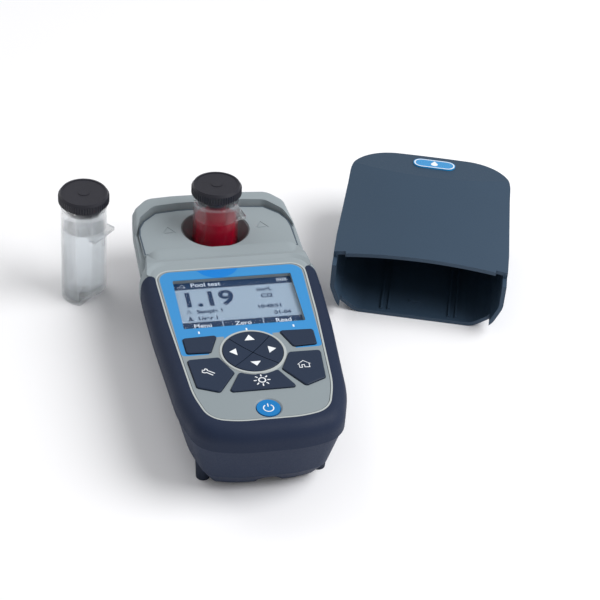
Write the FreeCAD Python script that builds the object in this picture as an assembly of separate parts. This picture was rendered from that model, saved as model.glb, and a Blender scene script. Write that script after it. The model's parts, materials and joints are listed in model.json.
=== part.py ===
import FreeCAD, Part
import math
import os

os.makedirs("parts", exist_ok=True)
V = FreeCAD.Vector

# A handheld colour tester for pool water, a spare sample cell and its light shield.
# Working frame, mm: X across the tester, +Y towards its cell end, Z = 0 is the table.

# ---------------------------------------------------------------- driving dimensions
FACE_Z = 48.0            # height of the keypad face
SEAM_Z = 34.5            # split between the upper and the lower case half
COVER_Z = 12.0           # split between the lower case half and the battery cover
UNDER_Z = 2.5            # underside of the case
GRIP_T = 2.2             # thickness of the soft grip
WALL = 2.2               # case wall
EDGE_R = 8.0             # rounding of the upper outer edge
PANEL_T = 2.2            # keypad panel
TRIM_W = 0.9             # silver line round the panel
TRIM_GAP = 0.3
OVERLAY_T = 0.3

KEY_TOP = FACE_Z + 0.9
KEY_TRAVEL = 0.6
KEY_GAP = 0.25           # key to panel, each side
FLANGE_W = 0.5
FLANGE_Z0 = 44.6
FLANGE_Z1 = 45.6
MAT_TOP = 43.9
BOARD_Z0 = 40.8
BOARD_Z1 = 42.4

LCD_Y = -13.3            # centre of the display window
LCD_W = 63.5
LCD_H = 40.2
DPAD_Y = -55.3
DPAD_R = 15.4
POWER_Y = -97.3
POWER_R = 5.9

DECK_TILT = 4.25         # the cell deck falls towards the far end, degrees
RING_Y = 57.6            # centre of the cell opening in the deck plane
RING_Z = 42.6
RING_R = 19.0

CELL_H = 66.0            # sample cell with its screw cap
SPARE_TALL = 3.0         # the spare cell stands this much taller
CELL_R = 12.5
CELL_WALL = 1.3
CELL_SUNK = 37.2         # length of the cell below the deck plane
CELL_BORE = CELL_R + 0.3
NECK_R = 11.7
NECK_Z0 = 60.0
NECK_Z1 = 64.3
PLUG_R = 10.2
PLUG_Z0 = 55.0
SCREW_CAP_R = 13.8
SCREW_CAP_TOP_R = 12.6
SCREW_CAP_Z0 = 60.4
KNURLS = 60
LEVEL_RED = 45.5         # liquid level above the cell's base
LEVEL_CLEAR = 47.0
TAB_REACH = 14.4         # orientation tab, from the cell axis
TAB_HALF = 8.5
TAB_Z0 = 45.3
TAB_Z1 = 47.5
TAB_TURN_WELL = 12.0     # direction of the tab, degrees
TAB_TURN_SPARE = -45.0
SPARE_XY = (-72.0, 62.6)

SHIELD_AT = (112.5, 16.1)    # middle of the light shield's front lower edge
SHIELD_TURN = -18.47
SHIELD_C = -5.0              # its centre line in its own frame
SHIELD_HALF = 48.2
SHIELD_DEPTH = 96.5
SHIELD_CORNER = 26.0
SHIELD_WALL = 2.3
SHIELD_MOUTH_Z = 42.5        # arch height at the mouth
SHIELD_CROWN = 4.0           # how much the arch drops towards its sides
SHIELD_BACK_CROWN = 1.0      # the same for the falling part behind the crest
SHIELD_RISE = math.tan(math.radians(6.3))
SHIELD_FALL = math.tan(math.radians(9.1))
SHIELD_CREST_T = 77.0        # depth of the crest at its ends
SHIELD_EAR = 6.0             # how far the side walls reach past the mouth
BADGE_T = 85.5               # depth of the badge's middle

BATTERY_R = 7.25
BATTERY_L = 50.5
BATTERY_Y0 = -90.0
BATTERY_PITCH = 15.0

FOOT_XY = (29.6, -91.2)
REAR_FOOT_XY = (27.0, 16.0)
SCREW_XY = [(22.0, -99.5), (31.0, -20.0), (31.0, 27.0), (26.5, 76.0)]
SCREW_SHELF_Z = 20.0     # the screw heads bear upwards against this level
COVER_SCREW_XY = (15.0, -34.0)


# ---------------------------------------------------------------- shared helpers
def mirrored(half):
    """Whole outline from its right half, given from the near end to the far end."""
    left = [(-x, y, r) for x, y, r in reversed(half)]
    return half + left


def offset(points, d):
    """Outline moved outward by d; corner radii follow."""
    n = len(points)
    lines = []
    for i in range(n):
        ax, ay, _ = points[i]
        bx, by, _ = points[(i + 1) % n]
        length = math.hypot(bx - ax, by - ay)
        ux = (bx - ax) / length
        uy = (by - ay) / length
        lines.append((ax + uy * d, ay - ux * d, ux, uy))
    out = []
    for i in range(n):
        px, py, pux, puy = lines[i - 1]
        qx, qy, qux, quy = lines[i]
        cross = pux * quy - puy * qux
        t = ((qx - px) * quy - (qy - py) * qux) / cross
        r = points[i][2]
        grown = r + d if cross > 0 else r - d
        out.append((px + pux * t, py + puy * t, max(grown, 0.5) if r > 0 else 0.0))
    return out


def rounded_wire(points, z=0.0):
    """Closed level wire; each point is (x, y, corner radius)."""
    n = len(points)
    corners = []
    for i in range(n):
        x, y, r = points[i]
        p = V(x, y, z)
        if r <= 1e-6:
            corners.append((p, None, p))
            continue
        u = V(points[i - 1][0] - x, points[i - 1][1] - y, 0)
        w = V(points[(i + 1) % n][0] - x, points[(i + 1) % n][1] - y, 0)
        u.normalize()
        w.normalize()
        half = math.acos(max(-1.0, min(1.0, u.dot(w)))) / 2
        run = r / math.tan(half)
        inward = u + w
        inward.normalize()
        middle = p + inward * (r / math.sin(half) - r)
        corners.append((p + u * run, middle, p + w * run))
    edges = []
    for i in range(n):
        start, middle, end = corners[i]
        if middle is not None:
            edges.append(Part.Arc(start, middle, end).toShape())
        following = corners[(i + 1) % n][0]
        if end.distanceToPoint(following) > 1e-5:
            edges.append(Part.makeLine(end, following))
    return Part.Wire(edges)


def prism(points, z0, z1):
    return Part.Face(rounded_wire(points, z0)).extrude(V(0, 0, z1 - z0))


def taper(low, z0, high, z1):
    return Part.makeLoft([rounded_wire(low, z0), rounded_wire(high, z1)], True, True)


def box(x0, x1, y0, y1, z0, z1):
    return Part.makeBox(x1 - x0, y1 - y0, z1 - z0, V(x0, y0, z0))


def rod(x, y, r, z0, z1):
    return Part.makeCylinder(r, z1 - z0, V(x, y, z0))


def turned(profile):
    """Solid of revolution about Z from (radius, height) points."""
    wire = Part.makePolygon([V(r, 0, z) for r, z in profile + profile[:1]])
    return Part.Face(wire).revolve(V(0, 0, 0), V(0, 0, 1), 360)


def union(shapes):
    return shapes[0].multiFuse(shapes[1:]).removeSplitter()


def both_sides(x, y):
    return [(-x, y), (x, y)]


def level_edges(solid, z, tol=1e-4):
    """Edges lying wholly in the level plane z."""
    found = []
    for e in solid.Edges:
        bb = e.BoundBox
        if abs(bb.ZMin - z) < tol and abs(bb.ZMax - z) < tol:
            found.append(e)
    return found


def on_deck(shape):
    """Moves a shape from the deck's own frame into place."""
    moved = shape.copy()
    moved.Placement = FreeCAD.Placement(
        V(0, RING_Y, RING_Z), FreeCAD.Rotation(V(1, 0, 0), -DECK_TILT)
    ).multiply(moved.Placement)
    return moved


def on_shield(shape):
    """Moves a shape from the light shield's own frame into place."""
    moved = shape.copy()
    moved.Placement = FreeCAD.Placement(
        V(SHIELD_AT[0], SHIELD_AT[1], 0), FreeCAD.Rotation(V(0, 0, 1), SHIELD_TURN)
    ).multiply(moved.Placement)
    return moved


# ---------------------------------------------------------------- outlines
# Right halves, near end first: x, y, corner radius.
FRONT = [(17, -114.2, 60), (36, -109, 16), (42.8, -86, 70), (46.9, -31, 200), (48, 0, 60)]
SHOULDER = [(48, 16, 14), (43.3, 28.5, 8), (42.8, 34, 0)]
REAR = [(48, 17, 8), (45.5, 25, 8), (45.1, 62, 60), (43.4, 79, 9), (35, 88.4, 10), (20, 89.6, 25)]
TRIM = [(15.5, -105.6, 45), (30, -102.4, 13), (35.3, -84, 60), (39.2, -27, 200), (40.4, 5, 60)]
TRIM_END = [(40.3, 15.6, 8)]
DECK = [(42.5, -23, 1.2), (43.0, -2, 8), (39, 11.5, 6), (31, 20.0, 6), (18, 21.5, 12)]
OVERLAY = [(36.1, -54.6, 2.2), (37.0, -27, 200), (38.3, 4, 60), (38.3, 14.1, 6.5)]

front_outline = mirrored(FRONT + SHOULDER)
case_outline = mirrored(FRONT + REAR)
trim_outline = mirrored(TRIM + TRIM_END)
panel_outline = offset(trim_outline, -TRIM_W - TRIM_GAP)
deck_outline = mirrored(DECK)
window_outline = mirrored([(LCD_W / 2, LCD_Y - LCD_H / 2, 0.8), (LCD_W / 2, LCD_Y + LCD_H / 2, 0.8)])

# Keys on the right-hand side; the left ones mirror them.
SOFT_KEY = [(33.3, -53.1, 1.2), (33.7, -41.4, 1.2), (16.1, -40.8, 1.2), (21.2, -53.6, 1.2)]
SIDE_KEY = [(32.4, -79.2, 1.6), (34.1, -58.2, 1.6), (18.0, -58.0, 1.4), (12.1, -70.2, 1.4), (21.6, -83.9, 1.6)]
LAMP_KEY = mirrored([(17.1, -84.3, 1.4), (10.0, -70.9, 1.2)])


def mirror_x(points):
    return [(-x, y, r) for x, y, r in reversed(points)]


# ---------------------------------------------------------------- upper case
def front_envelope():
    """Outer form of the tester's front: rounded all along its upper edge."""
    body = prism(front_outline, SEAM_Z + 0.2, FACE_Z)
    rim = [e for e in level_edges(body, FACE_Z) if e.BoundBox.YMin < 33.5]
    return body.makeFillet(EDGE_R, rim)


def grip_core():
    """Hard body under the soft grip."""
    core = prism(offset(mirrored(FRONT + SHOULDER), -GRIP_T), SEAM_Z + 0.1, FACE_Z - GRIP_T)
    rim = [e for e in level_edges(core, FACE_Z - GRIP_T) if e.BoundBox.YMin < 31.0]
    return core.makeFillet(EDGE_R - GRIP_T, rim)


def grip_region():
    """Plan area of the grip: a U round the panel with rounded ends."""
    end_y = 9.0
    band = prism(offset(front_outline, 4), SEAM_Z, FACE_Z + 2).cut(prism(trim_outline, SEAM_Z - 1, FACE_Z + 3))
    band = band.common(box(-60, 60, -130, end_y, SEAM_Z - 1, FACE_Z + 3))
    ends = [rod(x, y, 3.85, SEAM_Z, FACE_Z + 2) for x, y in both_sides(44.2, end_y)]
    return union([band] + ends)


def brow():
    """Raised band between the display and the cell deck, sloping down to both."""
    ridge_y = 22.0
    ridge_z = FACE_Z + 1.2
    side = [V(0, -4, FACE_Z - 6), V(0, -4, FACE_Z - 0.01), V(0, ridge_y, ridge_z), V(0, 34, 45.2), V(0, 34, FACE_Z - 6)]
    wedge = Part.Face(Part.makePolygon(side + side[:1])).extrude(V(120, 0, 0))
    wedge.translate(V(-60, 0, 0))
    plan = mirrored([(41.4, -4, 0), (44.5, 12, 20), (42.6, 27, 20), (41.6, 34, 0)])
    band = wedge.common(prism(plan, 30, 60))
    flare = taper(trim_outline, FACE_Z - PANEL_T, offset(trim_outline, 7.5), ridge_z + 0.35)
    return band.cut(flare)


def rear_case():
    """Side walls and back wall round the cell end, with the raised rim behind the deck."""
    walls = prism(case_outline, SEAM_Z + 0.2, 41.4).common(box(-60, 60, 23, 100, 0, 80))
    walls = walls.makeFillet(1.2, [e for e in level_edges(walls, 41.4) if e.BoundBox.YMin > 23.2])
    rim = prism(offset(case_outline, -0.8), 40, 50).common(box(-60, 60, 57.5, 100, 0, 80))
    top = Part.makeBox(140, 80, 20, V(-70, 0, 0))
    top.Placement = FreeCAD.Placement(V(0, 57.5, 43.9), FreeCAD.Rotation(V(1, 0, 0), 2.2))
    rim = rim.cut(top)
    upper = [e for e in rim.Edges if e.BoundBox.ZMin > 43.5 and e.BoundBox.YMin > 57.8]
    return walls.fuse(rim.makeFillet(2.6, upper))


def deck_openings():
    """Room for the deck and the groove behind it."""
    seat = on_deck(prism(offset(deck_outline, 0.45), -2.4, 12))
    back = on_deck(prism(offset(deck_outline, 1.3), -1.9, 12))
    back = back.common(box(-60, 60, 56.0, 110, 0, 80))
    return [seat, back]


def screw_post_webs(z0, z1):
    """Thin webs that tie the screw posts to the case wall."""
    webs = []
    for side in (-1, 1):
        near_x, near_y = SCREW_XY[0]
        webs.append(box(side * near_x - 0.8, side * near_x + 0.8, -109.3, near_y, z0, z1))
        for x, y in SCREW_XY[1:]:
            reach = 43.6 if y < 60 else 42.0
            ends = sorted((side * x, side * reach))
            webs.append(box(ends[0], ends[1], y - 0.8, y + 0.8, z0, z1))
    return webs


def build_upper_shell(envelope, grip):
    front = envelope.cut(grip)
    solid = union([front, brow().cut(grip_region()), rear_case()])
    pocket = prism(trim_outline, FACE_Z - PANEL_T, FACE_Z + 5)
    ledge = prism(offset(trim_outline, -2.3), 43.5, FACE_Z + 1)
    room = prism(offset(front_outline, -4.4), SEAM_Z - 1, 43.6).common(box(-60, 60, -120, 31.4, 0, 80))
    rear_room = prism(offset(case_outline, -WALL), SEAM_Z - 1, 38.4).common(box(-60, 60, 28, 100, 0, 80))
    ring_room = on_deck(prism(offset(deck_outline, -1.8), -7, 0))
    solid = solid.cut(pocket).cut(ledge).cut(room).cut(rear_room).cut(ring_room)
    solid = solid.cut(rod(0, POWER_Y, POWER_R + FLANGE_W + 0.3, 40, FACE_Z))
    for cutter in deck_openings():
        solid = solid.cut(cutter)
    posts = screw_post_webs(SEAM_Z + 1, 38.2)
    holes = []
    for sx, sy in SCREW_XY:
        for x, y in both_sides(sx, sy):
            posts.append(rod(x, y, 3.2, SEAM_Z + 0.2, 38.2))
            holes.append(rod(x, y, 1.5, SEAM_Z, 37.6))
    notches = [box(x, x + 1.6, 33.2, 34.2, 43.4, 47) for x in (-33, -20.2, -4, 8.5, 19.5)]
    return union([solid] + posts).cut(Part.makeCompound(holes + notches))


def build_trim():
    outer = prism(trim_outline, FACE_Z - PANEL_T, FACE_Z + 0.1)
    return outer.cut(prism(offset(trim_outline, -TRIM_W), 40, 60))


# ---------------------------------------------------------------- panel and display
def overlay_plan(z0, z1):
    """Coloured label: round the display and the two soft keys, above the direction pad."""
    body = prism(mirrored(OVERLAY), z0, z1)
    gap = [(12.6, -56, 0), (22.9, -56, 0), (22.2, -54.2, 1.0), (17.2, -41.6, 1.0), (12.6, -41.6, 0)]
    for points in (gap, mirror_x(gap)):
        body = body.cut(prism(points, z0 - 1, z1 + 1))
    body = body.cut(box(-12.7, 12.7, -60, -50, z0 - 1, z1 + 1))
    return body.cut(rod(0, DPAD_Y, DPAD_R + 1.9, z0 - 1, z1 + 1))


def key_plans():
    """Name and outline of every key that is not round."""
    return {
        "soft_key_left": mirror_x(SOFT_KEY),
        "soft_key_right": SOFT_KEY,
        "settings_key": mirror_x(SIDE_KEY),
        "home_key": SIDE_KEY,
        "lamp_key": LAMP_KEY,
    }


def lamp_relief(r):
    """The backlight key keeps clear of the direction pad."""
    return rod(0, DPAD_Y, r, 30, 60)


def build_panel():
    z0 = FACE_Z - PANEL_T
    panel = prism(panel_outline, z0, FACE_Z)
    panel = panel.cut(overlay_plan(FACE_Z - OVERLAY_T, FACE_Z + 1))
    panel = panel.cut(prism(window_outline, z0 - 1, FACE_Z + 1))
    for name, plan in key_plans().items():
        hole = prism(offset(plan, KEY_GAP), z0 - 1, FACE_Z + 1)
        if name == "lamp_key":
            hole = hole.cut(lamp_relief(DPAD_R + 2.8 - KEY_GAP))
        panel = panel.cut(hole)
    panel = panel.cut(rod(0, DPAD_Y, DPAD_R + KEY_GAP, z0 - 1, FACE_Z + 1))
    panel = panel.cut(rod(0, POWER_Y, POWER_R + KEY_GAP, z0 - 1, FACE_Z + 1))
    bevel = Part.makeCone(POWER_R + KEY_GAP, POWER_R + 1.4, 0.9, V(0, POWER_Y, FACE_Z - 0.7))
    return panel.cut(bevel)


def build_overlay():
    body = overlay_plan(FACE_Z - OVERLAY_T, FACE_Z)
    body = body.cut(prism(window_outline, 40, 60))
    for name in ("soft_key_left", "soft_key_right"):
        body = body.cut(prism(offset(key_plans()[name], 0.45), 40, 60))
    return body


def build_window():
    return prism(offset(window_outline, -0.05), FACE_Z - PANEL_T, FACE_Z - 0.7)


def build_lcd():
    z1 = FACE_Z - PANEL_T - 0.1
    half_x = LCD_W / 2 + 3.3
    return box(-half_x, half_x, LCD_Y - LCD_H / 2 - 3, LCD_Y + LCD_H / 2 + 3, BOARD_Z1, z1)


def build_dpad_ring():
    outer = turned([(DPAD_R + 0.3, 48.0), (DPAD_R + 1.75, 48.0), (DPAD_R + 1.3, 48.55), (DPAD_R + 0.3, 48.55)])
    outer.translate(V(0, DPAD_Y, 0))
    return outer


# ---------------------------------------------------------------- keys
def build_keys():
    keys = {}
    for name, plan in key_plans().items():
        cap = prism(plan, FLANGE_Z0, KEY_TOP)
        cap = cap.makeChamfer(0.35, level_edges(cap, KEY_TOP))
        flange = prism(offset(plan, FLANGE_W), FLANGE_Z0, FLANGE_Z1)
        if name == "lamp_key":
            cap = cap.cut(lamp_relief(DPAD_R + 2.8))
            flange = flange.cut(lamp_relief(DPAD_R + 2.8 - FLANGE_W))
        keys[name] = union([cap, flange])
    keys["power_key"] = build_power_key()
    keys.update(build_direction_keys())
    return keys


def build_power_key():
    top = FACE_Z - 0.1
    key = rod(0, POWER_Y, POWER_R, FLANGE_Z0, top)
    dish_r = 60.0
    key = key.cut(Part.makeSphere(dish_r, V(0, POWER_Y, top - 0.3 + dish_r)))
    return union([key, rod(0, POWER_Y, POWER_R + FLANGE_W, FLANGE_Z0, FLANGE_Z1)])


def build_direction_keys():
    """Four quarter keys with one shared dished top, split along the diagonals."""
    disc = rod(0, DPAD_Y, DPAD_R, FLANGE_Z0, KEY_TOP)
    disc = disc.makeChamfer(0.3, level_edges(disc, KEY_TOP))
    disc = union([disc, rod(0, DPAD_Y, DPAD_R + FLANGE_W, FLANGE_Z0, FLANGE_Z1)])
    dish_r = 90.0
    disc = disc.cut(Part.makeSphere(dish_r, V(0, DPAD_Y, KEY_TOP - 1.1 + dish_r)))
    keys = {}
    start = 0.3
    for name, turn in (("right_key", 0), ("up_key", 90), ("left_key", 180), ("down_key", 270)):
        wedge = prism([(start, 0, 0), (30, -30 + start, 0), (30, 30 - start, 0)], 30, 60)
        wedge.rotate(V(0, 0, 0), V(0, 0, 1), turn)
        wedge.translate(V(0, DPAD_Y, 0))
        keys[name] = disc.common(wedge)
    return keys


def build_mat():
    plan = prism(offset(trim_outline, -2.8), BOARD_Z1, MAT_TOP)
    return plan.common(box(-60, 60, -101, LCD_Y - LCD_H / 2 - 3.5, 0, 80))


# ---------------------------------------------------------------- lower case
def shell_band(grow, z0, z1):
    """Drafted lower body: full size at the seam, drawn in towards the underside."""
    def inset(z):
        if z >= COVER_Z:
            return 0.8 + (SEAM_Z - z) / (SEAM_Z - COVER_Z) * 5.9
        return 6.7 + (COVER_Z - z) / (COVER_Z - UNDER_Z) * 6.3
    return taper(offset(case_outline, -inset(z0) + grow), z0, offset(case_outline, -inset(z1) + grow), z1)


def feet_shapes(grow=0.0):
    """Legs in front, cut back beside the batteries, and flat pads behind."""
    legs = []
    for x, y in both_sides(*FOOT_XY):
        leg = Part.makeCone(3.6 + grow, 4.4 + grow, 13.6, V(x, y, 0))
        legs.append(leg.cut(box(-30.2, 30.2, y - 1.4, y + 10, 6.0, 20)))
    for x, y in both_sides(*REAR_FOOT_XY):
        legs.append(rod(x, y, 5.0 + grow, 0, 3.3))
    return legs


def build_lower_shell():
    top = SEAM_Z - 0.2
    upper = shell_band(0, COVER_Z, top)
    lower = shell_band(0, UNDER_Z, COVER_Z).common(box(-60, 60, -28, 110, 0, 80))
    room = shell_band(-WALL, COVER_Z - 0.01, top + 0.01)
    low_room = shell_band(-1.2, UNDER_Z + 1.2, COVER_Z).common(box(-60, 60, -26, 110, 0, 80))
    body = union([upper, lower]).cut(room).cut(low_room)
    inside = shell_band(-WALL + 0.1, COVER_Z, top)
    shelf = inside.common(box(-60, 60, -120, -28, 20.8, 22.4))
    divider = inside.common(box(-60, 60, -28, -26, COVER_Z, 22.4))
    parts = [body, shelf, divider]
    holes = []
    for sx, sy in SCREW_XY:
        for x, y in both_sides(sx, sy):
            foot_z = UNDER_Z + 0.5 if sy > -28 else SCREW_SHELF_Z - 2.6
            parts.append(rod(x, y, 3.9, foot_z, top))
            holes.append(rod(x, y, 2.9, 0, SCREW_SHELF_Z))
            holes.append(rod(x, y, 1.65, SCREW_SHELF_Z - 1, top + 1))
    for x, y in both_sides(*COVER_SCREW_XY):
        parts.append(rod(x, y, 3.2, 7.5, 21.5))
        holes.append(rod(x, y, 1.3, 0, 18.0))
    body = union(parts)
    holes += feet_shapes()
    return body.cut(Part.makeCompound(holes))


def build_battery_cover():
    top = COVER_Z - 0.2
    body = shell_band(0, UNDER_Z, top).common(box(-60, 60, -130, -28.3, 0, 80))
    room = shell_band(-1.6, UNDER_Z + 1.5, top + 0.01).common(box(-60, 60, -130, -30, 0, 80))
    body = body.cut(room)
    body = body.cut(Part.makeSphere(11, V(2.0, -108.5, -2.0)))
    posts = [rod(x, y, 3.2, UNDER_Z, 7.3) for x, y in both_sides(*COVER_SCREW_XY)]
    body = union([body] + posts)
    for x, y in both_sides(*COVER_SCREW_XY):
        body = body.cut(rod(x, y, 1.6, 0, 8)).cut(rod(x, y, 2.8, 0, 4.5))
    for leg in feet_shapes(0.3)[:2]:
        body = body.cut(leg)
    return body


def build_cover_gasket():
    ring = shell_band(-0.5, COVER_Z - 0.19, COVER_Z - 0.01).common(box(-60, 60, -130, -28.3, 0, 80))
    ring = ring.cut(prism(offset(case_outline, -9.8), 0, 40).common(box(-60, 60, -130, -30, 0, 80)))
    for leg in feet_shapes(0.3)[:2]:
        ring = ring.cut(leg)
    return ring


def build_housing_gasket():
    ring = prism(offset(case_outline, -1.4), SEAM_Z - 0.2, SEAM_Z + 0.2)
    ring = ring.cut(prism(offset(case_outline, -2.9), 0, 60))
    return ring


def build_case_screws():
    screws = []
    for sx, sy in SCREW_XY:
        for x, y in both_sides(sx, sy):
            head_z = SCREW_SHELF_Z - 2.4
            screws.append(union([rod(x, y, 1.45, SCREW_SHELF_Z - 0.1, 37.4), rod(x, y, 2.6, head_z, SCREW_SHELF_Z)]))
    return Part.makeCompound(screws)


def build_cover_screws():
    screws = []
    for x, y in both_sides(*COVER_SCREW_XY):
        screws.append(union([rod(x, y, 1.25, 4.4, 15.0), rod(x, y, 2.5, 2.9, 4.5)]))
    return Part.makeCompound(screws)


# ---------------------------------------------------------------- inside the tester
def battery_centres():
    return [(i - 1.5) * BATTERY_PITCH for i in range(4)]


def build_batteries():
    cells = []
    for i, x in enumerate(battery_centres()):
        can = Part.makeCylinder(BATTERY_R, BATTERY_L - 1.5, V(x, BATTERY_Y0, 12.9), V(0, 1, 0))
        tip = Part.makeCylinder(2.7, 1.5, V(x, BATTERY_Y0 + BATTERY_L - 1.5, 12.9), V(0, 1, 0))
        cell = union([can, tip])
        if i % 2:
            cell.rotate(V(x, BATTERY_Y0 + BATTERY_L / 2, 12.9), V(0, 0, 1), 180)
        cells.append(cell)
    return Part.makeCompound(cells)


def build_contacts():
    plates = []
    for y in (BATTERY_Y0 - 0.5, BATTERY_Y0 + BATTERY_L + 0.1):
        for x in battery_centres():
            plates.append(box(x - 5, x + 5, y, y + 0.4, 8.5, 20.7))
    return Part.makeCompound(plates)


def build_main_board():
    plan = mirrored([(24, -99, 3), (31, -90, 4), (34.5, -70, 6), (34.5, 24, 2)])
    return prism(plan, BOARD_Z0, BOARD_Z1)


def build_board_posts():
    """Spacers that carry the main board above the battery bay."""
    posts = [rod(x, y, 2.6, 22.4, BOARD_Z0) for x, y in both_sides(29, -84) + both_sides(29, -40)]
    return Part.makeCompound(posts)


def build_cell_deck():
    plate = prism(deck_outline, -2.4, 0)
    plate = plate.makeFillet(0.5, level_edges(plate, 0))
    plate = plate.cut(rod(0, 0, RING_R, -5, 1))
    marks = []
    for x in (-26.0, 26.0):
        for size, depth in ((3.9, 0.25), (2.7, 0.0)):
            corner = [(x - size, -size * 0.55, 0.3), (x + size, -size * 0.55, 0.3), (x, size * 1.15, 0.3)]
            marks.append(prism(corner, -0.25, 1))
        plate = plate.cut(marks[-2].cut(marks[-1]))
    return on_deck(plate)


def build_well_collar():
    funnel = turned([(18.9, -0.4), (18.3, -0.4), (13.6, -8.2), (13.6, -9.4), (18.9, -9.4)])
    return on_deck(funnel)


def build_cell_well():
    block = turned([(17.8, -9.5), (CELL_BORE, -9.5), (CELL_BORE, -CELL_SUNK - 0.05), (0, -CELL_SUNK - 0.05),
                    (0, -41), (17.8, -41)])
    windows = []
    for x in (-1, 1):
        windows.append(Part.makeCylinder(2.4, 8, V(x * 11, 0, -26), V(x, 0, 0)))
    block = on_deck(block.cut(Part.makeCompound(windows)))
    return block.common(box(-40, 40, 20, 100, UNDER_Z + 1.3, 60))


def build_optics(side):
    """Lamp on one side of the well, light sensor on the other: a can with a round nose."""
    base = on_deck(Part.makeCylinder(4.2, 3.0, V(side * 18.0, 0, -26), V(side, 0, 0)))
    nose = on_deck(Part.makeCylinder(2.3, 4.6, V(side * 13.5, 0, -26), V(side, 0, 0)))
    return union([base, nose])


def build_optics_board(side):
    board = on_deck(box(side * 22 - 0.8, side * 22 + 0.8, -14, 14, -33, -14))
    return board


# ---------------------------------------------------------------- sample cell
def cell_parts(level, tall):
    """One sample cell standing on its base, its tab towards +X; tall lengthens its glass."""
    inner = CELL_R - CELL_WALL
    shoulder = NECK_Z0 + tall
    lip = NECK_Z1 + tall
    cap_low = SCREW_CAP_Z0 + tall
    cap_high = CELL_H + tall
    step = box(6.0, 20, -20, 20, -1, 6.6)
    inner_step = box(4.6, 20, -20, 20, -1, 8.4)
    hollow = rod(0, 0, inner, 2.0, shoulder - 1.6).cut(inner_step)
    throat = rod(0, 0, PLUG_R + 0.05, shoulder - 1.7, lip + 1)
    body = rod(0, 0, CELL_R, 0, shoulder - 0.4)
    neck = rod(0, 0, NECK_R, shoulder - 0.5, lip)
    tab = box(0, TAB_REACH, -TAB_HALF, TAB_HALF, TAB_Z0, TAB_Z1)
    rib = box(0, TAB_REACH - 0.6, -0.8, 0.8, TAB_Z0 - 6, TAB_Z0 + 0.1)
    glass = union([body, neck, tab, rib]).cut(step).cut(hollow).cut(throat)
    liquid = rod(0, 0, inner, 2.0, level).cut(inner_step)
    plug_low = PLUG_Z0 + tall
    plug = turned([(0, lip + 0.25), (PLUG_R, lip + 0.25), (PLUG_R, plug_low + 0.8), (PLUG_R - 0.8, plug_low),
                   (0, plug_low)])
    grip = []
    for i in range(KNURLS * 2):
        r = SCREW_CAP_R if i % 2 else SCREW_CAP_R - 0.45
        a = math.pi * i / KNURLS
        grip.append((r * math.cos(a), r * math.sin(a), 0))
    cap = prism(grip, cap_low, cap_high - 1.6)
    crown = Part.makeCone(SCREW_CAP_R - 0.45, SCREW_CAP_TOP_R, 1.6, V(0, 0, cap_high - 1.6))
    cap = union([cap, crown])
    cap = cap.cut(rod(0, 0, NECK_R + 0.06, cap_low - 1, lip + 0.3))
    dish = turned([(11.4, cap_high + 1), (11.4, cap_high - 0.25), (3.2, cap_high - 0.25), (3.2, cap_high + 1)])
    return {"glass": glass, "liquid": liquid, "plug": plug, "screw_cap": cap.cut(dish)}


def build_cells():
    nodes = {}
    for name, shape in cell_parts(LEVEL_RED, 0.0).items():
        shape.rotate(V(0, 0, 0), V(0, 0, 1), TAB_TURN_WELL)
        shape.translate(V(0, 0, -CELL_SUNK))
        nodes["cell_" + name] = on_deck(shape)
    for name, shape in cell_parts(LEVEL_CLEAR, SPARE_TALL).items():
        shape.rotate(V(0, 0, 0), V(0, 0, 1), TAB_TURN_SPARE)
        shape.translate(V(SPARE_XY[0], SPARE_XY[1], 0))
        nodes["spare_" + name] = shape
    return nodes


# ---------------------------------------------------------------- light shield
def arched_roof(z, crown, slope):
    """Block under an arched roof that is z high over t = 0 and climbs by slope."""
    left = V(-80, 0, z - crown * (80 / SHIELD_HALF) ** 2)
    right = V(80, 0, z - crown * (80 / SHIELD_HALF) ** 2)
    arch = Part.Arc(left, V(0, 0, z), right).toShape()
    low = Part.makePolygon([right, V(80, 0, -150), V(-80, 0, -150), left])
    block = Part.Face(Part.Wire([arch] + low.Edges)).extrude(V(0, 140, 140 * slope))
    block.translate(V(0, -20, -20 * slope))
    return block


def back_roof_z():
    """Height over t = 0 of the falling roof's centre line, so that both meet at the crest's ends."""
    end = ((SHIELD_HALF - SHIELD_CORNER / 4) / SHIELD_HALF) ** 2
    rise = SHIELD_CREST_T * (SHIELD_RISE + SHIELD_FALL)
    return SHIELD_MOUTH_Z + rise - (SHIELD_CROWN - SHIELD_BACK_CROWN) * end


def shield_form(inset, t0, t1):
    """Hood form: arched section, rising from the mouth to the crest, then falling away."""
    half = SHIELD_HALF
    side = [(33, 0, 12), (43.5, 8.0, 12), (half, 20, 14), (half, 36, 9)]
    cross = offset(mirrored(side), -inset)
    top_y = cross[len(side) - 1][1]
    tall = [(x, y if y < top_y - 0.1 else 200.0, r if y < top_y - 0.1 else 0) for x, y, r in cross]
    section = Part.Face(rounded_wire(tall, 0))
    section.rotate(V(0, 0, 0), V(1, 0, 0), 90)
    body = section.extrude(V(0, t1 - t0, 0))
    body.translate(V(0, t0, 0))
    front = arched_roof(SHIELD_MOUTH_Z - inset, SHIELD_CROWN, SHIELD_RISE)
    back = arched_roof(back_roof_z() - inset, SHIELD_BACK_CROWN, -SHIELD_FALL)
    far = half - 1.6
    plan = [(half + 0.2, -40, 0), (half + 0.2, 10, 60), (far, 60, 60), (far - 0.6, SHIELD_DEPTH, SHIELD_CORNER)]
    return body.common(front).common(back).common(prism(offset(mirrored(plan), -inset), -1, 150))


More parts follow.
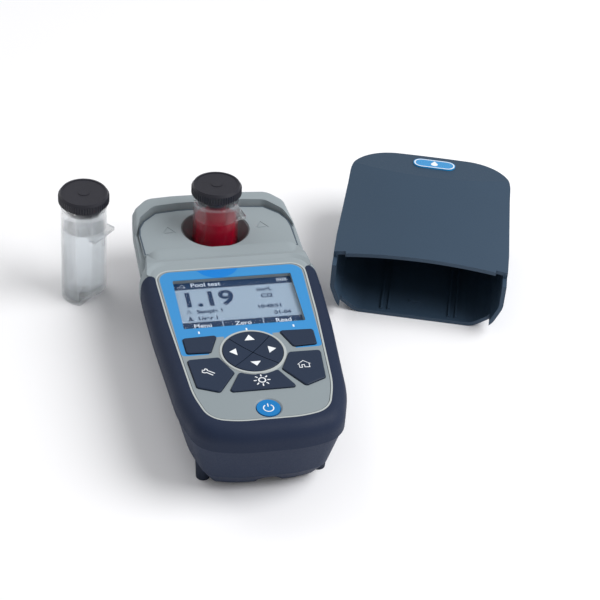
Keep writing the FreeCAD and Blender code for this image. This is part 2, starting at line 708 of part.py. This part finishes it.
def build_shield():
    outer = shield_form(0, -SHIELD_EAR, SHIELD_DEPTH + 1)
    room = shield_form(SHIELD_WALL, -SHIELD_EAR - 5, SHIELD_DEPTH + 1)
    body = outer.cut(room)
    # The side walls reach past the roof and the floor.
    body = body.cut(box(-60, 60, -20, 0, 35.0, 90))
    body = body.cut(box(-60, 60, -20, 0, -5, 5.5))
    body = body.cut(box(-42.0, 42.0, -20, 0, -5, 60))
    corner = [box(41.6, 60, -1, 1.8, 35.0, 60), box(-60, -41.6, -1, 1.8, 35.0, 60)]
    body = body.cut(corner[0]).cut(corner[1])
    ribs = []
    for x in (-19, -15, 19, 23):
        ribs.append(box(x, x + 1.2, 2.5, 70, SHIELD_WALL - 0.2, SHIELD_WALL + 1.3))
    latch = box(-3.2, 3.2, 12, 14, SHIELD_WALL - 0.2, SHIELD_WALL + 0.8)
    body = union([body, latch] + ribs)
    body.translate(V(SHIELD_C, 0, 0))
    return on_shield(body)


def build_badge():
    """Plain rounded plate on the falling part of the roof."""
    z = back_roof_z() - BADGE_T * SHIELD_FALL
    plate = prism(mirrored([(12.2, -5.4, 5.0), (12.2, 5.4, 5.0)]), 0.02, 0.8)
    plate.rotate(V(0, 0, 0), V(1, 0, 0), -math.degrees(math.atan(SHIELD_FALL)))
    plate.translate(V(SHIELD_C + 1.3, BADGE_T, z))
    return on_shield(plate)


# ---------------------------------------------------------------- all nodes
def build_all():
    envelope = front_envelope()
    grip = envelope.cut(grip_core()).common(grip_region())
    nodes = {
        "grip_overmold": grip,
        "upper_shell": build_upper_shell(envelope, grip),
        "panel_trim": build_trim(),
        "key_panel": build_panel(),
        "display_overlay": build_overlay(),
        "display_window": build_window(),
        "lcd_module": build_lcd(),
        "direction_ring": build_dpad_ring(),
        "keypad_mat": build_mat(),
        "main_board": build_main_board(),
        "board_posts": build_board_posts(),
        "lower_shell": build_lower_shell(),
        "housing_gasket": build_housing_gasket(),
        "battery_cover": build_battery_cover(),
        "cover_gasket": build_cover_gasket(),
        "case_screws": build_case_screws(),
        "cover_screws": build_cover_screws(),
        "rubber_feet": Part.makeCompound(feet_shapes()),
        "batteries": build_batteries(),
        "battery_contacts": build_contacts(),
        "cell_deck": build_cell_deck(),
        "well_collar": build_well_collar(),
        "cell_well": build_cell_well(),
        "lamp_module": build_optics(1),
        "sensor_module": build_optics(-1),
        "lamp_board": build_optics_board(1),
        "sensor_board": build_optics_board(-1),
        "light_shield": build_shield(),
        "shield_badge": build_badge(),
    }
    nodes.update(build_keys())
    nodes.update(build_cells())
    return nodes


def frame_shift(nodes):
    """From the working frame to the set's own frame: bottom centre of everything."""
    whole = Part.makeCompound(list(nodes.values())).optimalBoundingBox(False, False)
    return V(-(whole.XMin + whole.XMax) / 2, -(whole.YMin + whole.YMax) / 2, -whole.ZMin)


NODES = build_all()
SHIFT = frame_shift(NODES)
for node, shape in NODES.items():
    placed = shape.copy()
    placed.translate(SHIFT)
    placed.exportStep("parts/" + node + ".step")
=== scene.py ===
import json
import math

import bmesh
import bpy
from mathutils import Matrix, Vector


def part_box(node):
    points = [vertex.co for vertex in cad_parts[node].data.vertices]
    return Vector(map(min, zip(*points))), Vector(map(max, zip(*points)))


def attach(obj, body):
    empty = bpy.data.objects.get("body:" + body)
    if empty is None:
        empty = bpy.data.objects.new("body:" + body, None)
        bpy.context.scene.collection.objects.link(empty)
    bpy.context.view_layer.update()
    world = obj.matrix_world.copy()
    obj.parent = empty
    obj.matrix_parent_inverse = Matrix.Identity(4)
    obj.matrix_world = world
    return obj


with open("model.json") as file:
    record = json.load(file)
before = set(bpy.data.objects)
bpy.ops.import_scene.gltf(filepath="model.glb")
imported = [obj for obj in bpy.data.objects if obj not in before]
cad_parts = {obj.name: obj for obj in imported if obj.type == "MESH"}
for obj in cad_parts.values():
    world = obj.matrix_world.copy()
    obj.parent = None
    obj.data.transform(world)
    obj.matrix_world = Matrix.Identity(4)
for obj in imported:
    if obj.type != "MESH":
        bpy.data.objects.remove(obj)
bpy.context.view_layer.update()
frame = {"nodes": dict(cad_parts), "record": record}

MM = 0.001


# ------------------------------------------------------------------ places
# The tester's own middle line, its display centre and its face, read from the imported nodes.
def middle(node):
    low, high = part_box(node)
    return (Vector(low) + Vector(high)) / 2


DISPLAY = middle("display_window")
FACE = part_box("key_panel")[1][2] / MM
DISPLAY_Y = -13.3        # display centre in the tester's own lengthwise measure, mm
LCD_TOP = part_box("lcd_module")[1][2] / MM
LCD_HALF_X = 31.75
LCD_LOW = -31.7
LCD_HIGH = 6.8
KEY_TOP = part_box("home_key")[1][2] / MM
DPAD_Y = -55.3
DPAD_DISH = 90.0         # radius of the dished direction pad, mm
DPAD_DEEP = 1.1          # how far its middle lies below the key tops
DOME_R = 5.2             # low round swell on each lower key
DOME_RISE = 0.3
SETTINGS_SPOT = (-24.4, -69.4)
HOME_SPOT = (23.6, -69.4)
LAMP_SPOT = (0, -78.2)
POWER_SPOT = (0, -97.3)
DECK_TILT = 4.25         # the cell deck falls towards the far end, degrees
RING_Y = 57.6            # middle of the cell opening
RING_Z = 42.6            # height of the deck there
SHIELD_TURN = -18.47     # how the light shield is turned on the table, degrees
SHIELD_FALL = 9.1        # slope of its roof under the badge, degrees


def at(x, y, z):
    """Row-frame place of a point given in the tester's own millimetres."""
    return Vector((DISPLAY.x + x * MM, DISPLAY.y + (y - DISPLAY_Y) * MM, z * MM))


def flat_at(height):
    return lambda x, y: height


def domed(cx, cy):
    """Height of a lower key with its low round swell."""
    def height(x, y):
        swell = 1 - ((x - cx) ** 2 + (y - cy) ** 2) / DOME_R ** 2
        return KEY_TOP + DOME_RISE * max(swell, 0)
    return height


def dish(x, y):
    """Height of the dished direction pad."""
    r2 = x * x + (y - DPAD_Y) ** 2
    return KEY_TOP - DPAD_DEEP + r2 / (2 * DPAD_DISH)


# ------------------------------------------------------------------ colours and materials
def srgb(r, g, b):
    """Linear colour from 0-255 display values."""
    return tuple((c / 255 / 12.92) if c <= 10 else ((c / 255 + 0.055) / 1.055) ** 2.4 for c in (r, g, b))


def new_material(name):
    """Fresh node material, with its tree and its main shader."""
    material = bpy.data.materials.new(name)
    material.use_nodes = True
    tree = material.node_tree
    return material, tree, tree.nodes["Principled BSDF"]


def noise(tree, scale, detail=2.0):
    """Noise texture fixed to the object."""
    coord = tree.nodes.new("ShaderNodeTexCoord")
    node = tree.nodes.new("ShaderNodeTexNoise")
    node.inputs["Scale"].default_value = scale
    node.inputs["Detail"].default_value = detail
    tree.links.new(coord.outputs["Object"], node.inputs["Vector"])
    return node


def tint(tree, bsdf, source, colour, spread):
    """Base colour that drifts a little either side of colour."""
    mix = tree.nodes.new("ShaderNodeMix")
    mix.data_type = "RGBA"
    mix.inputs["A"].default_value = [c * (1 - spread) for c in colour] + [1]
    mix.inputs["B"].default_value = [min(c * (1 + spread), 1) for c in colour] + [1]
    tree.links.new(source.outputs["Fac"], mix.inputs["Factor"])
    tree.links.new(mix.outputs["Result"], bsdf.inputs["Base Color"])


def rough_range(tree, bsdf, source, low, high):
    """Roughness that follows a noise between low and high."""
    span = tree.nodes.new("ShaderNodeMapRange")
    span.inputs["From Min"].default_value = 0.3
    span.inputs["From Max"].default_value = 0.7
    span.inputs["To Min"].default_value = low
    span.inputs["To Max"].default_value = high
    tree.links.new(source.outputs["Fac"], span.inputs["Value"])
    tree.links.new(span.outputs["Result"], bsdf.inputs["Roughness"])


def bump(tree, bsdf, source, strength, depth):
    """Fine surface relief from a noise."""
    node = tree.nodes.new("ShaderNodeBump")
    node.inputs["Strength"].default_value = strength
    node.inputs["Distance"].default_value = depth
    tree.links.new(source.outputs["Fac"], node.inputs["Height"])
    tree.links.new(node.outputs["Normal"], bsdf.inputs["Normal"])


def moulded(name, colour, rough=0.5, grain=1500, relief=0.25, spread=0.05, specular=0.5, coat=0.0):
    """Moulded plastic or rubber: fine surface grain, slight drift of colour and gloss."""
    material, tree, bsdf = new_material(name)
    fine = noise(tree, grain, 3)
    broad = noise(tree, 28, 2)
    tint(tree, bsdf, broad, srgb(*colour), spread)
    rough_range(tree, bsdf, fine, rough - 0.06, rough + 0.08)
    bump(tree, bsdf, fine, relief, 0.00006)
    bsdf.inputs["Specular IOR Level"].default_value = specular
    bsdf.inputs["Coat Weight"].default_value = coat
    bsdf.inputs["Coat Roughness"].default_value = 0.15
    return material


def metal(name, colour, rough=0.3):
    """Bare metal with a fine brushed grain."""
    material, tree, bsdf = new_material(name)
    fine = noise(tree, 2600, 2)
    tint(tree, bsdf, noise(tree, 60, 2), srgb(*colour), 0.08)
    rough_range(tree, bsdf, fine, rough - 0.08, rough + 0.1)
    bump(tree, bsdf, fine, 0.15, 0.00003)
    bsdf.inputs["Metallic"].default_value = 1.0
    return material


def clear(name, colour, ior, alpha, rough=0.02, wave=0.12, through=1.0):
    """Clear plastic or liquid with faint moulding waves."""
    material, tree, bsdf = new_material(name)
    broad = noise(tree, 90, 1)
    tint(tree, bsdf, broad, srgb(*colour), 0.03)
    rough_range(tree, bsdf, broad, rough, rough + 0.03)
    bump(tree, bsdf, broad, wave, 0.0004)
    bsdf.inputs["Transmission Weight"].default_value = through
    bsdf.inputs["IOR"].default_value = ior
    bsdf.inputs["Alpha"].default_value = alpha
    return material


def printed(name, colour, rough=0.35, glow=0.0):
    """Ink or paint with a faint mottle."""
    material, tree, bsdf = new_material(name)
    speck = noise(tree, 3000, 2)
    tint(tree, bsdf, speck, srgb(*colour), 0.05)
    rough_range(tree, bsdf, speck, rough - 0.05, rough + 0.05)
    bsdf.inputs["Emission Strength"].default_value = glow
    bsdf.inputs["Emission Color"].default_value = list(srgb(*colour)) + [1]
    return material


def coarse(name, colour, rough):
    """Coarser grained plastic, for the black screw caps and the hidden black mouldings."""
    material, tree, bsdf = new_material(name)
    fine = noise(tree, 1800, 3)
    tint(tree, bsdf, noise(tree, 120, 2), srgb(*colour), 0.2)
    rough_range(tree, bsdf, fine, rough - 0.08, rough + 0.1)
    bump(tree, bsdf, fine, 0.35, 0.00008)
    return material


def board_green(name):
    """Green circuit board with a regular pattern of tracks."""
    material, tree, bsdf = new_material(name)
    tracks = tree.nodes.new("ShaderNodeTexBrick")
    coord = tree.nodes.new("ShaderNodeTexCoord")
    tracks.inputs["Scale"].default_value = 220
    tracks.inputs["Color1"].default_value = [*srgb(20, 92, 52), 1]
    tracks.inputs["Color2"].default_value = [*srgb(16, 78, 44), 1]
    tracks.inputs["Mortar"].default_value = [*srgb(58, 130, 76), 1]
    tree.links.new(coord.outputs["Object"], tracks.inputs["Vector"])
    tree.links.new(tracks.outputs["Color"], bsdf.inputs["Base Color"])
    rough_range(tree, bsdf, noise(tree, 900, 2), 0.25, 0.4)
    return material


def make_materials():
    """One finish for each material slot of the record."""
    return {
        "soft_grip": moulded("soft_grip", (24, 37, 62), 0.62, 1700, 0.3, 0.08, 0.28),
        "grey_case": moulded("grey_case", (146, 156, 161), 0.55, 1500, 0.3, 0.03, 0.4),
        "panel_grey": moulded("panel_grey", (136, 146, 151), 0.48, 2200, 0.15, 0.03, 0.4),
        "silver_trim": moulded("silver_trim", (178, 184, 184), 0.35, 2200, 0.1, 0.03, 0.5),
        "blue_label": moulded("blue_label", (52, 138, 200), 0.42, 2600, 0.1, 0.03, 0.4),
        "clear_window": clear("clear_window", (235, 242, 248), 1.45, 0.04, 0.08, 0.02),
        "display": moulded("display", (146, 166, 186), 0.5, 2600, 0.06, 0.02, 0.3),
        "black_rubber": moulded("black_rubber", (22, 24, 28), 0.75, 1500, 0.3, 0.1, 0.3),
        "circuit_board": board_green("circuit_board"),
        "brass_post": metal("brass_post", (196, 160, 84)),
        "navy_case": moulded("navy_case", (26, 40, 66), 0.58, 1500, 0.3, 0.06, 0.3),
        "steel": metal("steel", (176, 178, 180)),
        "foot_rubber": moulded("foot_rubber", (26, 36, 54), 0.7, 1500, 0.3, 0.08, 0.3),
        "battery": moulded("battery", (46, 48, 54), 0.35, 900, 0.05, 0.1, 0.5),
        "contact_metal": metal("contact_metal", (196, 194, 188), 0.25),
        "smoky_plastic": moulded("smoky_plastic", (92, 93, 96), 0.4, 1200, 0.3, 0.2, 0.5),
        "black_plastic": coarse("black_plastic", (27, 27, 38), 0.5),
        "badge_blue": moulded("badge_blue", (28, 142, 206), 0.25, 2000, 0.05, 0.05, 0.5, 0.5),
        "key_blue": moulded("key_blue", (0, 116, 184), 0.4, 2000, 0.15, 0.04, 0.4),
        "key_navy": moulded("key_navy", (30, 44, 66), 0.52, 2000, 0.2, 0.06, 0.3),
        "cell_clear": clear("cell_clear", (242, 245, 247), 1.46, 0.5, 0.005, 0.06),
        "red_liquid": clear("red_liquid", (240, 16, 66), 1.33, 1.0, 0.01, 0.02, 0.6),
        "clear_liquid": clear("clear_liquid", (238, 243, 246), 1.33, 0.8, 0.005, 0.02),
    }


def shield_plastic_painted_light():
    """Same moulding as the lower case, coloured lighter all over as painted light for its brightly lit
    outside.
    """
    return moulded("shield_navy_painted_light", (50, 69, 88), 0.55, 1300, 0.4, 0.05, 0.3)


def dress_nodes(materials):
    """Gives every carried-over node the material of its slot; the light shield instead gets a lighter navy
    with painted light.
    """
    slots = {part["node"]: part["material_slot"] for part in frame["record"]["subparts"]}
    # painted light: the shield's navy is lighter than the case's, standing in for the light on its outside
    shield = shield_plastic_painted_light()
    for node, obj in frame["nodes"].items():
        finish = shield if node == "light_shield" else materials[slots[node]]
        if obj.material_slots:
            for place in obj.material_slots:
                place.material = finish
        else:
            obj.data.materials.append(finish)


# ------------------------------------------------------------------ printed and raised marks
def polygon_mesh(name, outlines, thick):
    """Thin plates from closed outlines of (x, y) points, in millimetres."""
    bm = bmesh.new()
    for outline in outlines:
        face = bm.faces.new([bm.verts.new((x, y, 0)) for x, y in outline])
        face.normal_update()
        if face.normal.z < 0:
            face.normal_flip()
        grown = bmesh.ops.extrude_face_region(bm, geom=[face])
        for part in grown["geom"]:
            if isinstance(part, bmesh.types.BMVert):
                part.co.z += thick
    bmesh.ops.recalc_face_normals(bm, faces=bm.faces)
    bmesh.ops.triangulate(bm, faces=[f for f in bm.faces if len(f.verts) > 4])
    mesh = bpy.data.meshes.new(name)
    bm.to_mesh(mesh)
    bm.free()
    return mesh


def baked(name, curve):
    """Mesh copy of a curve or text, with the curve removed."""
    holder = bpy.data.objects.new(name, curve)
    bpy.context.collection.objects.link(holder)
    bpy.context.view_layer.update()
    graph = bpy.context.evaluated_depsgraph_get()
    mesh = bpy.data.meshes.new_from_object(holder.evaluated_get(graph))
    bpy.data.objects.remove(holder)
    return mesh


def stroke_mesh(name, lines, width, thick):
    """Rounded strokes along open or closed runs of (x, y) points, in millimetres."""
    curve = bpy.data.curves.new(name, "CURVE")
    curve.dimensions = "3D"
    curve.bevel_depth = width / 2
    curve.bevel_resolution = 2
    curve.use_fill_caps = True
    for points, closed in lines:
        spline = curve.splines.new("POLY")
        spline.points.add(len(points) - 1)
        for place, (x, y) in zip(spline.points, points):
            place.co = (x, y, 0, 1)
        spline.use_cyclic_u = closed
    mesh = baked(name, curve)
    for v in mesh.vertices:
        v.co.z *= 2 * thick / width
    return mesh


def text_mesh(name, words, size, thick, bold=0.0, align="LEFT"):
    """Words or digits as thin raised letters, size in millimetres."""
    curve = bpy.data.curves.new(name, "FONT")
    curve.body = words
    curve.size = size
    curve.extrude = thick / 2
    curve.offset = bold
    curve.align_x = align
    return baked(name, curve)


def put(name, mesh, spot, surface, body, finish, lift=0.02):
    """Lays a mesh given in millimetres on a surface of the tester."""
    for v in mesh.vertices:
        x = spot[0] + v.co.x
        y = spot[1] + v.co.y
        v.co = at(x, y, surface(x, y) + lift + v.co.z)
    mesh.materials.clear()
    mesh.materials.append(finish)
    obj = bpy.data.objects.new(name, mesh)
    bpy.context.collection.objects.link(obj)
    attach(obj, body)
    return obj


def arc(cx, cy, r, start, end, steps=24):
    """Points along an arc, angles in degrees."""
    out = []
    for i in range(steps + 1):
        a = math.radians(start + (end - start) * i / steps)
        out.append((cx + r * math.cos(a), cy + r * math.sin(a)))
    return out


def rounded(x0, y0, x1, y1, r):
    """Outline of a rounded rectangle."""
    return (arc(x1 - r, y0 + r, r, -90, 0, 6) + arc(x1 - r, y1 - r, r, 0, 90, 6)
            + arc(x0 + r, y1 - r, r, 90, 180, 6) + arc(x0 + r, y0 + r, r, 180, 270, 6))


def square(x0, y0, x1, y1):
    """Outline of a plain rectangle."""
    return [(x0, y0), (x1, y0), (x1, y1), (x0, y1)]


# ------------------------------------------------------------------ display
def make_display(dark, ink, pale):
    """Bars, reading, small lines and marks on the display module."""
    top = flat_at(LCD_TOP)
    bar = 5.6
    cell = 2 * LCD_HALF_X / 3
    thick = 0.04

    def lay(name, mesh, spot, finish, lift=0.01):
        put(name, mesh, spot, top, "tester", finish, lift)

    strips = [square(-LCD_HALF_X, LCD_HIGH - bar, LCD_HALF_X, LCD_HIGH)]
    for i in range(3):
        x0 = -LCD_HALF_X + i * cell + 0.3
        strips.append(square(x0, LCD_LOW, x0 + cell - 0.6, LCD_LOW + bar))
    lay("display_bars", polygon_mesh("display_bars", strips, thick), (0, 0), dark)
    for i, words in enumerate(("Menu", "Zero", "Read")):
        x = -LCD_HALF_X + (i + 0.5) * cell
        mesh = text_mesh("soft_label_" + words, words, 4.2, thick, 0.09, "CENTER")
        lay("soft_label_" + words, mesh, (x, LCD_LOW + 1.2), pale, 0.06)
    lay("title", text_mesh("title", "Pool test", 4.4, thick, 0.09), (-22.5, LCD_HIGH - 3.7), pale, 0.06)
    sign = stroke_mesh("title_mark", [([(-1.6, -1.1), (0, 1.3), (1.6, -1.1)], True)], 0.35, thick)
    lay("title_mark", sign, (-27.0, LCD_HIGH - 2.5), pale, 0.06)
    gauge = (26.5, LCD_HIGH - 2.4)
    case = square(-2.6, -1.1, 2.6, 1.1)
    lay("battery_mark", stroke_mesh("battery_mark", [(case, True)], 0.4, thick), gauge, pale, 0.06)
    cells = [square(x, -0.6, x + 0.9, 0.6) for x in (-2.1, -0.9, 0.3, 1.4)]
    lay("battery_level", polygon_mesh("battery_level", cells, thick), gauge, pale, 0.06)
    lay("reading", text_mesh("reading", "1.19", 16.6, thick, 0.42), (-29.6, -13.0), ink)
    lines = (
        ("unit", "mg/L", 4.3, 11.5, -4.0),
        ("species", "Cl2", 4.6, 13.0, -9.6),
        ("clock", "10:48:51", 3.9, 9.5, -18.2),
        ("date", "01-04", 3.9, 17.5, -23.8),
        ("sample_line", "Sample 1", 3.9, -22.5, -18.9),
        ("user_line", "User 1", 3.9, -22.5, -24.4),
    )
    for name, words, size, x, y in lines:
        lay(name, text_mesh(name, words, size, thick, 0.13), (x, y), ink)
    flask = [(-0.4, 1.5), (-0.4, 0.4), (-1.4, -1.2), (1.4, -1.2), (0.4, 0.4), (0.4, 1.5)]
    lay("sample_mark", stroke_mesh("sample_mark", [(flask, True)], 0.35, thick), (-26.5, -17.5), ink)
    person = [arc(0, 1.0, 0.75, 0, 345, 12), [(-1.4, -1.4), (1.4, -1.4), (0.9, 0.1), (-0.9, 0.1)]]
    lay("user_mark", polygon_mesh("user_mark", person, thick), (-26.5, -23.2), ink)


# ------------------------------------------------------------------ keypad marks
def make_key_marks(white):
    """Symbols on the lower keys, arrows on the direction pad and the power sign."""
    jaw = arc(-2.1, 1.5, 1.35, 75, -10, 6) + [(2.6, -1.2)]
    back = [(-3.3, 1.1)] + arc(-2.0, 1.5, 1.75, 215, 290, 8) + [(1.5, -2.5)]
    notch = [(-1.7, 2.9), (-2.2, 1.7), (-3.5, 2.0)]
    wrench = [(jaw, False), (back, False), (notch, False)]
    put("wrench_mark", stroke_mesh("wrench_mark", wrench, 0.66, 0.12), (-24.6, -69.2), domed(*SETTINGS_SPOT),
        "settings_key_body", white)
    house = [([(-2.5, -2.2), (-2.5, 0.4), (-3.2, 0.4), (0, 2.9), (3.2, 0.4), (2.6, 0.4), (2.6, -2.2),
               (0.1, -2.2), (0.1, -0.3), (-1.2, -0.3), (-1.2, -2.2)], True)]
    put("house_mark", stroke_mesh("house_mark", house, 0.62, 0.12), (23.4, -69.0), domed(*HOME_SPOT),
        "home_key_body", white)
    rays = [(arc(0, 0, 1.7, 0, 345, 20), True)]
    for i in range(8):
        a = math.radians(45 * i)
        rays.append(([(2.7 * math.cos(a), 2.7 * math.sin(a)), (4.2 * math.cos(a), 4.2 * math.sin(a))], False))
    put("lamp_mark", stroke_mesh("lamp_mark", rays, 0.72, 0.12), (0.3, -78.2), domed(*LAMP_SPOT),
        "lamp_key_body", white)
    for name, turn in (("right", 0), ("up", 90), ("left", 180), ("down", 270)):
        c, s = math.cos(math.radians(turn)), math.sin(math.radians(turn))
        corners = [(12.0, 0), (8.2, 2.6), (8.2, -2.6)]
        points = [(x * c - y * s, x * s + y * c + 0.8) for x, y in corners]
        put(name + "_arrow", polygon_mesh(name + "_arrow", [points], 0.08), (0, DPAD_Y), dish,
            name + "_key_body", white)
    power_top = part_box("power_key")[1][2] / MM - 0.22
    power = [(arc(0, 0, 2.5, 125, 415, 28), False), ([(0, 0.9), (0, 3.2)], False)]
    put("power_mark", stroke_mesh("power_mark", power, 0.62, 0.12), POWER_SPOT, flat_at(power_top),
        "power_key_body", white)


def make_key_domes(navy):
    """Low round swell under each symbol of the lower keys."""
    for name, (x, y) in (("settings", SETTINGS_SPOT), ("home", HOME_SPOT), ("lamp", LAMP_SPOT)):
        bm = bmesh.new()
        rings = []
        for r in (DOME_R, 4.5, 3.6, 2.6, 1.6, 0.7):
            height = DOME_RISE * (1 - (r / DOME_R) ** 2) - 0.02
            rings.append([bm.verts.new((r * math.cos(a), r * math.sin(a), height))
                          for a in [2 * math.pi * i / 40 for i in range(40)]])
        for outer, inner in zip(rings, rings[1:]):
            for i in range(40):
                bm.faces.new((outer[i], outer[(i + 1) % 40], inner[(i + 1) % 40], inner[i]))
        bm.faces.new(rings[-1])
        mesh = bpy.data.meshes.new(name + "_dome")
        bm.to_mesh(mesh)
        bm.free()
        for face in mesh.polygons:
            face.use_smooth = True
        put(name + "_dome", mesh, (x, y), flat_at(KEY_TOP), name + "_key_body", navy, 0.0)


def make_label_marks(deep, white):
    """Darker patch at the label's top edge, and the ticks over the keys that the display names."""
    top = flat_at(FACE)
    patch = [(4.3, 14.0), (-17.6, 14.0)] + arc(-6.6, 19.0, 12.1, 205, 335, 24)[1:-1]
    mesh = polygon_mesh("label_patch", [patch], 0.03)
    put("label_patch", mesh, (0, 0), top, "tester", deep, 0.005)
    ticks = [square(x - 0.4, -38.0, x + 0.4, -36.2) for x in (-24.6, 0, 24.6)]
    mesh = polygon_mesh("label_ticks", ticks, 0.04)
    put("label_ticks", mesh, (0, 0), top, "tester", white, 0.01)


def make_deck_lines(dark):
    """Painted shade: a dark stroke where the step round the sunken cell deck lies in shadow, with the four
    small clips at its near edge drawn in the same dark.
    """
    slope = math.tan(math.radians(DECK_TILT))

    def deck(x, y):
        return RING_Z - (y - RING_Y) * slope

    side = [(41.9, -22.0), (42.2, -2.5), (41.4, 4.5), (38.3, 11.2), (30.6, 19.2), (18, 20.9)]
    run = side + [(-x, y) for x, y in reversed(side)]
    # painted shade along the gap round the deck
    mesh = stroke_mesh("deck_gap_painted_shade", [(run, True)], 0.9, 0.05)
    put("deck_gap_painted_shade", mesh, (0, RING_Y), deck, "tester", dark, 0.01)
    clips = [rounded(x - 1.3, -22.4, x + 1.3, -21.2, 0.3) for x in (-33, -17, 17, 33)]
    mesh = polygon_mesh("deck_clips", clips, 0.05)
    put("deck_clips", mesh, (0, RING_Y), deck, "tester", dark, 0.02)


# ------------------------------------------------------------------ shield badge
def make_badge(white):
    """White border and water drop on the plain badge plate."""
    centre = middle("shield_badge")
    slope = math.radians(SHIELD_FALL)
    turn = Matrix.Rotation(math.radians(SHIELD_TURN), 4, "Z") @ Matrix.Rotation(-slope, 4, "X")
    lift = 0.36
    border = stroke_mesh("badge_border", [(rounded(-11.4, -4.7, 11.4, 4.7, 4.4), True)], 0.8, 0.1)
    drop = [(0, 3.4)] + arc(0, -0.7, 2.0, 25, -205, 24)
    shapes = (("badge_border", border), ("badge_drop", polygon_mesh("badge_drop", [drop], 0.12)))
    for name, mesh in shapes:
        for v in mesh.vertices:
            v.co = centre + turn @ (Vector((v.co.x, v.co.y, v.co.z + lift)) * MM)
        mesh.materials.clear()
        mesh.materials.append(white)
        obj = bpy.data.objects.new(name, mesh)
        bpy.context.collection.objects.link(obj)
        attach(obj, "shield")


# ------------------------------------------------------------------ stage
def make_stage():
    """Plain pale table top under everything."""
    mesh = bpy.data.meshes.new("floor")
    size = 6.0
    corners = [(x, y, 0) for x, y in square(-size, -size, size, size)]
    mesh.from_pydata(corners, [], [(0, 1, 2, 3)])
    floor = bpy.data.objects.new("floor", mesh)
    bpy.context.collection.objects.link(floor)
    floor.data.materials.append(moulded("floor_paper", (252, 252, 254), 0.7, 300, 0.05, 0.003, 0.15))


def area_light(name, place, aim, size, power):
    """Round soft light at place, turned towards aim."""
    data = bpy.data.lights.new(name, "AREA")
    data.shape = "DISK"
    data.size = size
    data.energy = power
    light = bpy.data.objects.new(name, data)
    light.location = place
    light.rotation_euler = (Vector(aim) - Vector(place)).to_track_quat("-Z", "Y").to_euler()
    bpy.context.collection.objects.link(light)


def make_lights():
    """Even white surroundings, a large light high on the near right and a weaker one behind."""
    world = bpy.data.worlds.new("studio")
    bpy.context.scene.world = world
    world.use_nodes = True
    background = world.node_tree.nodes["Background"]
    background.inputs["Color"].default_value = (1.0, 1.0, 1.0, 1)
    background.inputs["Strength"].default_value = 0.44
    area_light("top_softbox", at(640, -260, 860), at(20, 20, 20), 0.8, 10)
    area_light("back_softbox", at(-450, 600, 800), at(20, 0, 20), 0.9, 2.6)
    bpy.context.scene.view_settings.view_transform = "Standard"


def make_camera():
    """Long lens from the front left, looking down at about 38 degrees with a slight roll."""
    data = bpy.data.cameras.new("camera")
    data.lens = 109.325
    data.sensor_width = 36.0
    data.clip_start = 0.05
    camera = bpy.data.objects.new("camera", data)
    bpy.context.collection.objects.link(camera)
    azimuth, elevation, roll = (math.radians(v) for v in (-14.81, 38.388, 5.09))
    distance = 1031.2 * MM
    target = at(47.69, 41.75, 0)
    level = math.cos(elevation)
    back = Vector((math.sin(azimuth) * level, -math.cos(azimuth) * level, math.sin(elevation)))
    right = (-back).cross(Vector((0, 0, 1))).normalized()
    up = right.cross(-back)
    tilted_right = math.cos(roll) * right + math.sin(roll) * up
    tilted_up = -math.sin(roll) * right + math.cos(roll) * up
    turn = Matrix((tilted_right, tilted_up, back)).transposed().to_4x4()
    camera.matrix_world = Matrix.Translation(target + back * distance) @ turn
    bpy.context.scene.camera = camera


# ------------------------------------------------------------------ build
make_camera()
make_lights()
make_stage()
materials = make_materials()
dress_nodes(materials)
white_ink = printed("white_ink", (236, 240, 244), 0.4)
make_display(printed("display_dark", (14, 48, 84)), printed("display_ink", (0, 44, 84)),
             printed("display_pale", (198, 210, 224)))
make_key_domes(materials["key_navy"])
make_key_marks(white_ink)
make_label_marks(moulded("label_deep", (0, 122, 206), 0.42, 2600, 0.1, 0.03, 0.4), white_ink)
# gap_shade_and_clips: painted shade for the gap line round the deck, also used for the clips
make_deck_lines(printed("gap_shade_and_clips", (70, 84, 98), 0.7))
make_badge(white_ink)
